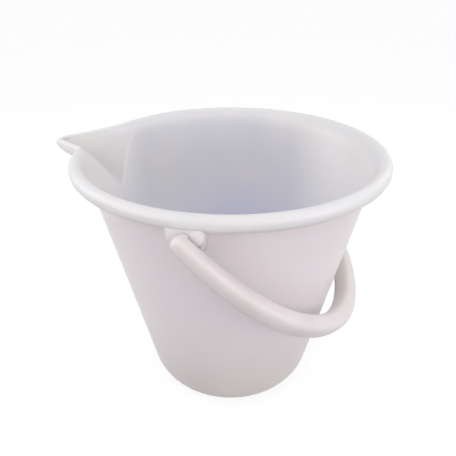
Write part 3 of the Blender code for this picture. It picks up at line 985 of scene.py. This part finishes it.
@dataclass
class Bail:
    """The bail: half an ellipse from peg to peg, thin at the domed ends and full at the grip.

    Each field is an input of its node tree, under the same name: half_width is Half Width there.
    """

    finish: bpy.types.Material
    pivot_z: float
    half_width: float = 168.8 * MM
    reach: float = 196.6 * MM
    hang: float = math.radians(46.8)
    end_radius: float = 6.4 * MM
    grip_half_width: float = 10.1 * MM
    grip_half_height: float = 11.4 * MM
    swell: float = 0.51
    squareness: float = 2.6
    dome_share: float = 0.045
    stations: int = 221
    sides: int = 56

    def tree(self, sizes: dict[str, float | int | bpy.types.Material]) -> bpy.types.NodeTree:
        """Builds the node tree that sweeps the section along the half ellipse.

        Args:
            sizes: The tree's inputs, by name.

        Returns:
            The tree, with its sizes as named inputs.
        """
        tree = bpy.data.node_groups.new("bail_sweep", "GeometryNodeTree")
        tree.interface.new_socket("Geometry", in_out="OUTPUT", socket_type="NodeSocketGeometry")
        kinds = {float: "NodeSocketFloat", int: "NodeSocketInt"}
        for name, value in sizes.items():
            kind = kinds.get(type(value), "NodeSocketMaterial")
            tree.interface.new_socket(name, in_out="INPUT", socket_type=kind)
        given = add_node(tree, "NodeGroupInput")
        terms = {socket.name: socket for socket in given.outputs if socket.name}
        terms["index"] = add_node(tree, "GeometryNodeInputIndex").outputs[0]
        steps = (
            ("ring points", "ADD", "Sides", 1.0),
            ("ring place", "MODULO", "index", "ring points"),
            ("station ratio", "DIVIDE", "index", "ring points"),
            ("station", "FLOOR", "station ratio"),
            ("last station", "SUBTRACT", "Stations", 1.0),
            ("along", "DIVIDE", "station", "last station"),
            ("past dome", "SUBTRACT", "along", "Dome Share"),
            ("both domes", "MULTIPLY", "Dome Share", 2.0),
            ("arc share", "SUBTRACT", 1.0, "both domes"),
            ("raw arc", "DIVIDE", "past dome", "arc share"),
            ("arc low", "MAXIMUM", "raw arc", 0.0),
            ("arc", "MINIMUM", "arc low", 1.0),
            ("near raw", "MULTIPLY", "past dome", -1.0),
            ("near dome", "MAXIMUM", "near raw", 0.0),
            ("dome edge", "SUBTRACT", 1.0, "Dome Share"),
            ("far raw", "SUBTRACT", "along", "dome edge"),
            ("far dome", "MAXIMUM", "far raw", 0.0),
            ("dome place", "ADD", "near dome", "far dome"),
            ("dome", "DIVIDE", "dome place", "Dome Share"),
            ("dome angle", "MULTIPLY", "dome", math.pi / 2),
            ("dome back", "SINE", "dome angle"),
            ("dome scale", "COSINE", "dome angle"),
            ("arc angle", "MULTIPLY", "arc", math.pi),
            ("sine", "SINE", "arc angle"),
            ("cosine", "COSINE", "arc angle"),
            ("out", "MULTIPLY", "Reach", "sine"),
            ("dome offset", "MULTIPLY", "End Radius", "dome back"),
            ("centre x", "SUBTRACT", "out", "dome offset"),
            ("sideways", "MULTIPLY", "Half Width", "cosine"),
            ("centre y", "MULTIPLY", "sideways", -1.0),
            ("normal x", "MULTIPLY", "Half Width", "sine"),
            ("normal y", "MULTIPLY", "Reach", "cosine"),
            ("square x", "MULTIPLY", "normal x", "normal x"),
            ("square y", "MULTIPLY", "normal y", "normal y"),
            ("squares", "ADD", "square x", "square y"),
            ("length", "SQRT", "squares"),
            ("unit x", "DIVIDE", "normal x", "length"),
            ("unit y", "DIVIDE", "normal y", "length"),
            ("fullness raw", "MAXIMUM", "sine", 0.0),
            ("fullness", "POWER", "fullness raw", "Swell"),
            ("extra width", "SUBTRACT", "Grip Half Width", "End Radius"),
            ("extra height", "SUBTRACT", "Grip Half Height", "End Radius"),
            ("plain half width", "MULTIPLY_ADD", "extra width", "fullness", "End Radius"),
            ("plain half height", "MULTIPLY_ADD", "extra height", "fullness", "End Radius"),
            ("section half width", "MULTIPLY", "plain half width", "dome scale"),
            ("section half height", "MULTIPLY", "plain half height", "dome scale"),
            ("ring share", "DIVIDE", "ring place", "Sides"),
            ("ring angle", "MULTIPLY", "ring share", 2 * math.pi),
            ("ring cosine", "COSINE", "ring angle"),
            ("ring sine", "SINE", "ring angle"),
            ("power", "DIVIDE", 2.0, "Squareness"),
            ("cosine size", "ABSOLUTE", "ring cosine"),
            ("sine size", "ABSOLUTE", "ring sine"),
            ("cosine sign", "SIGN", "ring cosine"),
            ("sine sign", "SIGN", "ring sine"),
            ("bent cosine", "POWER", "cosine size", "power"),
            ("bent sine", "POWER", "sine size", "power"),
            ("signed cosine", "MULTIPLY", "bent cosine", "cosine sign"),
            ("signed sine", "MULTIPLY", "bent sine", "sine sign"),
            ("across", "MULTIPLY", "signed cosine", "section half width"),
            ("up", "MULTIPLY", "signed sine", "section half height"),
            ("x", "MULTIPLY_ADD", "unit x", "across", "centre x"),
            ("back y", "MULTIPLY", "unit y", "across"),
            ("y", "SUBTRACT", "centre y", "back y"),
        )
        for name, operation, *values in steps:
            inputs = {i: terms.get(value, value) for i, value in enumerate(values)}
            terms[name] = add_node(tree, "ShaderNodeMath", {"operation": operation}, inputs).outputs[0]
        grid = add_node(tree, "GeometryNodeMeshGrid", {}, {
            "Vertices X": terms["Stations"], "Vertices Y": terms["ring points"]})
        place = add_node(tree, "ShaderNodeCombineXYZ", {}, {
            "X": terms["x"], "Y": terms["y"], "Z": terms["up"]})
        swept = add_node(tree, "GeometryNodeSetPosition", {}, {
            "Geometry": grid.outputs["Mesh"], "Position": place.outputs[0]})
        closed = add_node(tree, "GeometryNodeMergeByDistance", {}, {
            "Geometry": swept.outputs[0], "Distance": SAME_PLACE})
        smooth = add_node(tree, "GeometryNodeSetShadeSmooth", {}, {"Geometry": closed.outputs[0]})
        lift = add_node(tree, "ShaderNodeCombineXYZ", {}, {"Z": terms["Pivot Z"]})
        turn = add_node(tree, "ShaderNodeCombineXYZ", {}, {"Y": terms["Hang"]})
        hung = add_node(tree, "GeometryNodeTransform", {}, {
            "Geometry": smooth.outputs[0], "Translation": lift.outputs[0], "Rotation": turn.outputs[0]})
        real = add_node(tree, "GeometryNodeRealizeInstances", {}, {"Geometry": hung.outputs[0]})
        dressed = add_node(tree, "GeometryNodeSetMaterial", {}, {
            "Geometry": real.outputs[0], "Material": terms["Finish"]})
        add_node(tree, "NodeGroupOutput", {}, {"Geometry": dressed.outputs[0]})
        return tree

    def build(self) -> bpy.types.Object:
        """Makes the bail and puts it on its body.

        Returns:
            The bail's object.
        """
        obj = new_object("bail", bpy.data.meshes.new("bail"))
        sizes = {size.name.replace("_", " ").title(): getattr(self, size.name) for size in fields(self)}
        tree = self.tree(sizes)
        sweep = obj.modifiers.new("sweep", "NODES")
        sweep.node_group = tree
        for socket in tree.interface.items_tree:
            if socket.in_out == "INPUT":
                sweep[socket.identifier] = sizes[socket.name]
        settled(obj)
        shape = bmesh.new()
        shape.from_mesh(obj.data)
        bmesh.ops.recalc_face_normals(shape, faces=shape.faces)
        shape.to_mesh(obj.data)
        shape.free()
        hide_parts("bail_handle")
        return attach(obj, Body.BAIL.value)


@dataclass
class Peg:
    """A snap peg on an end of the bail: a shoulder, a shaft through the ear and a head behind it."""

    side: Side
    finish: bpy.types.Material
    pivot_z: float
    bail_y: float = 169.0 * MM
    plate_face: float = 159.0 * MM
    plate: float = 3.2 * MM
    gap: float = 0.3 * MM
    radius: float = 3.5 * MM
    shoulder: float = 4.2 * MM
    head_radius: float = 5.4 * MM
    head: float = 2.6 * MM
    tip: float = 1.6 * MM
    root: float = 1.0 * MM
    edge: float = 0.4 * MM
    sharp_angle: float = math.radians(40)
    sides: int = 48

    def profile(self) -> list[tuple[float, float]]:
        """Lays out the peg's rings, from inside the bail to the tip behind the plate.

        Returns:
            Points of distance along Y and radius.
        """
        behind = self.plate_face - self.plate - self.gap
        front = self.plate_face + self.gap
        edge = self.edge
        return [
            (self.bail_y - self.root, self.shoulder), (front + edge, self.shoulder),
            (front, self.shoulder - edge), (front, self.radius), (behind, self.radius),
            (behind, self.head_radius - edge), (behind - edge, self.head_radius),
            (behind - self.head, self.head_radius), (behind - self.head - self.tip, self.radius),
        ]

    def build(self) -> bpy.types.Object:
        """Turns the profile round the joint's axis and puts the peg on its body.

        Returns:
            The peg's object.
        """
        turns = np.linspace(0, 2 * math.pi, self.sides, endpoint=False)
        rings = [(self.side.value * y, r) for y, r in self.profile()]
        rows = np.array([[(r * math.cos(turn), y, self.pivot_z + r * math.sin(turn)) for turn in turns]
                         for y, r in rings])
        mesh = round_mesh((0, rings[0][0], self.pivot_z), rows, (0, rings[-1][0], self.pivot_z))
        mesh.set_sharp_from_angle(angle=self.sharp_angle)
        obj = new_object(f"{self.side.name.lower()}_peg", mesh)
        mesh.materials.append(self.finish)
        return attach(obj, Body.BAIL.value)


@dataclass(frozen=True)
class Softbox:
    """A square soft lamp: its name, where it stands, its side in metres and its power in watts."""

    name: str
    place: tuple[float, float, float]
    size: float
    power: float


@dataclass
class Studio:
    """The camera at the photograph's viewing angle, a plain white floor and soft light."""

    focal_pixels: float = 442.06
    centre_pixel: float = 230.63
    azimuth: float = 0.223
    tilt: float = 0.514
    distance: float = 436.5 * MM
    above_rim: float = 149.4 * MM
    floor_side: float = 40.0
    floor_drop: float = 0.2 * MM
    floor_colour: str = "868488"
    floor_glow: float = 0.82
    air: str = "fcfcff"
    light_high: float = 0.80
    light_low: float = 0.24
    light_span: tuple[float, float] = (0.1, 0.8)
    aim: tuple[float, float, float] = (0.0, 0.0, 150 * MM)
    lamps: tuple[Softbox, ...] = (
        Softbox("left_front_light", (-0.7, -0.8, 0.6), 0.8, 3.2),
        Softbox("front_light", (0.2, -1.2, 0.55), 0.8, 2.2),
        Softbox("right_front_light", (0.9, -0.7, 0.5), 0.7, 2.0),
        Softbox("right_light", (1.1, -0.3, 0.35), 0.6, 2.4),
        Softbox("high_right_light", (1.0, -0.1, 0.95), 0.6, 0.7),
        Softbox("left_light", (-1.1, -0.1, 0.6), 0.7, 2.2),
        Softbox("back_right_light", (0.8, 0.9, 0.8), 0.7, 1.4),
    )

    def camera(self, rim_height: float) -> None:
        """Creates the camera.

        Args:
            rim_height: Height of the bucket's top.
        """
        data = bpy.data.cameras.new("camera")
        data.sensor_width = 36.0
        data.lens = self.focal_pixels * data.sensor_width / PHOTO_SIDE
        data.shift_x = (PHOTO_SIDE / 2 - self.centre_pixel) / PHOTO_SIDE
        data.clip_start = 10 * MM
        data.clip_end = 100.0
        obj = bpy.data.objects.new("camera", data)
        obj.location = (self.distance * math.sin(self.azimuth), -self.distance * math.cos(self.azimuth),
                        rim_height + self.above_rim)
        obj.rotation_euler = (math.pi / 2 - self.tilt, 0, self.azimuth)
        bpy.context.scene.collection.objects.link(obj)
        bpy.context.scene.camera = obj

    def seen_white(self, tree: bpy.types.NodeTree) -> bpy.types.NodeSocket:
        """1 for what the camera sees, straight or in a gloss, and 0 for light on the object.

        Args:
            tree: The tree that gets the nodes.

        Returns:
            The socket with that value.
        """
        path = add_node(tree, "ShaderNodeLightPath")
        seen = path.outputs["Is Camera Ray"]
        for ray in ("Is Glossy Ray", "Is Transmission Ray"):
            seen = add_node(tree, "ShaderNodeMath", {"operation": "MAXIMUM"}, {
                0: seen, 1: path.outputs[ray]}).outputs[0]
        return seen

    def floor(self) -> None:
        """Creates the floor, which looks white and keeps the object's shadow."""
        shape = bmesh.new()
        bmesh.ops.create_grid(shape, x_segments=1, y_segments=1, size=self.floor_side / 2)
        obj = new_object("floor", mesh_of(shape, "floor"))
        obj.location.z = -self.floor_drop
        made = blank_material("white_floor")
        tree = made.node_tree
        matte = add_node(tree, "ShaderNodeBsdfDiffuse", {}, {"Color": linear(self.floor_colour)})
        seen = add_node(tree, "ShaderNodeMath", {"operation": "MULTIPLY"}, {
            0: self.seen_white(tree), 1: self.floor_glow})
        glow = add_node(tree, "ShaderNodeEmission", {}, {"Strength": seen.outputs[0]})
        both = add_node(tree, "ShaderNodeAddShader", {}, {0: matte.outputs[0], 1: glow.outputs[0]})
        add_node(tree, "ShaderNodeOutputMaterial", {}, {"Surface": both.outputs[0]})
        obj.data.materials.append(made)

    def world(self) -> None:
        """Sets the surrounding light, stronger overhead, which the camera sees as plain white."""
        world = bpy.data.worlds.new("studio")
        bpy.context.scene.world = world
        world.use_nodes = True
        tree = world.node_tree
        tree.nodes.clear()
        place = add_node(tree, "ShaderNodeTexCoord").outputs["Generated"]
        height = add_node(tree, "ShaderNodeSeparateXYZ", {}, {0: place}).outputs["Z"]
        strength = add_node(tree, "ShaderNodeMapRange", {"interpolation_type": "SMOOTHSTEP"}, {
            "Value": height, "From Min": self.light_span[0], "From Max": self.light_span[1],
            "To Min": self.light_low, "To Max": self.light_high})
        light = add_node(tree, "ShaderNodeBackground", {}, {
            "Color": linear(self.air), "Strength": strength.outputs["Result"]})
        white = add_node(tree, "ShaderNodeBackground", {}, {"Color": (1, 1, 1, 1), "Strength": 1.0})
        mix = add_node(tree, "ShaderNodeMixShader", {}, {
            0: self.seen_white(tree), 1: light.outputs[0], 2: white.outputs[0]})
        add_node(tree, "ShaderNodeOutputWorld", {}, {"Surface": mix.outputs[0]})

    def lamp(self, lamp: Softbox) -> None:
        """Creates a soft lamp that faces the bucket.

        Args:
            lamp: The lamp's place, size and light.
        """
        data = bpy.data.lights.new(lamp.name, "AREA")
        data.size = lamp.size
        data.energy = lamp.power
        obj = bpy.data.objects.new(lamp.name, data)
        bpy.context.scene.collection.objects.link(obj)
        obj.location = lamp.place
        towards = Vector(self.aim) - Vector(lamp.place)
        obj.rotation_euler = towards.to_track_quat("-Z", "Y").to_euler()

    def build(self, rim_height: float) -> None:
        """Creates the camera, the floor and the light.

        Args:
            rim_height: Height of the bucket's top.
        """
        self.camera(rim_height)
        self.floor()
        self.world()
        for lamp in self.lamps:
            self.lamp(lamp)
        bpy.context.scene.view_settings.view_transform = "Standard"


def main() -> None:
    """Builds the bucket, its ears, the bail and the studio, and reports each piece."""
    logging.basicConfig(level=logging.INFO, format="%(message)s")
    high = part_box("bucket_body")[1]
    swing = next(joint for joint in frame["joints"] if joint["child"] == Body.BAIL.value)
    pivot_z = swing["pos_m"][2]
    Studio().build(high.z)
    polyethylene = MouldedPolyethylene().material()
    # The ears get a lighter copy of the bucket's plastic, which is painted light.
    painted_light_polyethylene = MouldedPolyethylene(
        "moulded_thick_polyethylene", outside="f2ebed", rim="f2ecee").material()
    polypropylene = MouldedPolypropylene().material()
    shell = BucketShell(polyethylene, height=high.z, rim_radius=high.y)
    pieces = [shell.build()]
    pieces += [Ear(side, shell, painted_light_polyethylene, pivot_z).build() for side in Side]
    pieces.append(Bail(polypropylene, pivot_z).build())
    pieces += [Peg(side, polypropylene, pivot_z).build() for side in Side]
    for piece in pieces:
        LOG.info("%s: %d faces", piece.name, len(piece.data.polygons))


if __name__ == "__main__":
    main()
